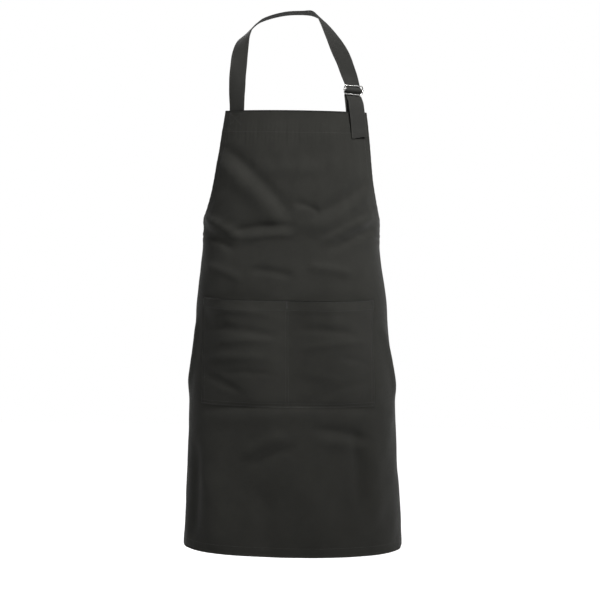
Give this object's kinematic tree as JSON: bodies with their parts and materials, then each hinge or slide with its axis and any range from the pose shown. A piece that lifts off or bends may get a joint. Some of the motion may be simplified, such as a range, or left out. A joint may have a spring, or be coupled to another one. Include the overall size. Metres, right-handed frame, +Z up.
{
  "type": "artist bib apron",
  "caption": "Dark twill bib apron with a split front pocket, adjustable neck strap with slide buckle, and waist ties in a bow",
  "frame": {"origin": "middle of the underside of the neck strap, behind the wearer's neck, where the apron hangs", "axes": "+Z up, -Y the apron's face, +X to the right of someone looking at the face"},
  "size_m": [0.4229, 0.253, 1.0606],
  "materials": {
    "panel_twill": "matt charcoal-black cotton twill, fine diagonal weave, pressed creases",
    "strap_twill": "the same twill folded and edge-stitched into flat straps",
    "thread": "black polyester sewing thread, slight sheen",
    "label_tape": "blank woven tape, off-white",
    "buckle_metal": "nickel-plated steel wire, polished, lightly scuffed"
  },
  "bodies": {
    "neck_strap": {"neck_strap": "strap_twill"},
    "apron": {"front_panel": "panel_twill", "top_facing": "panel_twill", "armhole_hem_left": "panel_twill", "armhole_hem_right": "panel_twill", "side_hem_left": "panel_twill", "side_hem_right": "panel_twill", "bottom_hem": "panel_twill", "pocket": "panel_twill", "pocket_mouth_hem": "panel_twill", "pocket_bartack_left": "thread", "pocket_bartack_centre": "thread", "pocket_bartack_right": "thread", "neck_strap_left_end": "strap_twill", "neck_strap_right_end": "strap_twill", "anchor_tab": "strap_twill", "waist_tie_left": "strap_twill", "waist_tie_right": "strap_twill", "bow_knot": "strap_twill", "bow_loop_left": "strap_twill", "bow_loop_right": "strap_twill", "care_label": "label_tape"},
    "slider_bar": {"slider_bar": "buckle_metal"},
    "buckle_frame": {"buckle_frame": "buckle_metal"},
    "strap_tail": {"strap_tail": "strap_twill"},
    "bow_tail_left": {"bow_tail_left": "strap_twill"},
    "bow_tail_right": {"bow_tail_right": "strap_twill"}
  },
  "joints": [
    {"name": "apron_swing", "type": "hinge", "parent": "neck_strap", "child": "apron", "pos_m": [0.023, -0.136, -0.1024], "axis": [1, 0, 0], "range_deg": [-60, 15]},
    {"name": "buckle_tilt", "type": "hinge", "parent": "apron", "child": "slider_bar", "pos_m": [0.13296, -0.14234, -0.1494], "axis": [0.9042, 0.4214, -0.0698], "range_deg": [-5, 5]},
    {"name": "buckle_slide", "type": "slide", "parent": "slider_bar", "child": "buckle_frame", "axis": [0.0632, 0.0295, 0.9976], "range_m": [-0.001, 0.001]},
    {"name": "tail_lift", "type": "hinge", "parent": "apron", "child": "strap_tail", "pos_m": [0.13316, -0.13905, -0.16009], "axis": [-0.9042, -0.4214, 0.0698], "range_deg": [0, 70]},
    {"name": "bow_tail_left_swing", "type": "hinge", "parent": "apron", "child": "bow_tail_left", "pos_m": [0.00013, 0.05308, -0.4805], "axis": [1, 0, 0], "range_deg": [0, 70]},
    {"name": "bow_tail_right_swing", "type": "hinge", "parent": "apron", "child": "bow_tail_right", "pos_m": [0.03413, 0.05508, -0.4805], "axis": [1, 0, 0], "range_deg": [0, 70]}
  ]
}
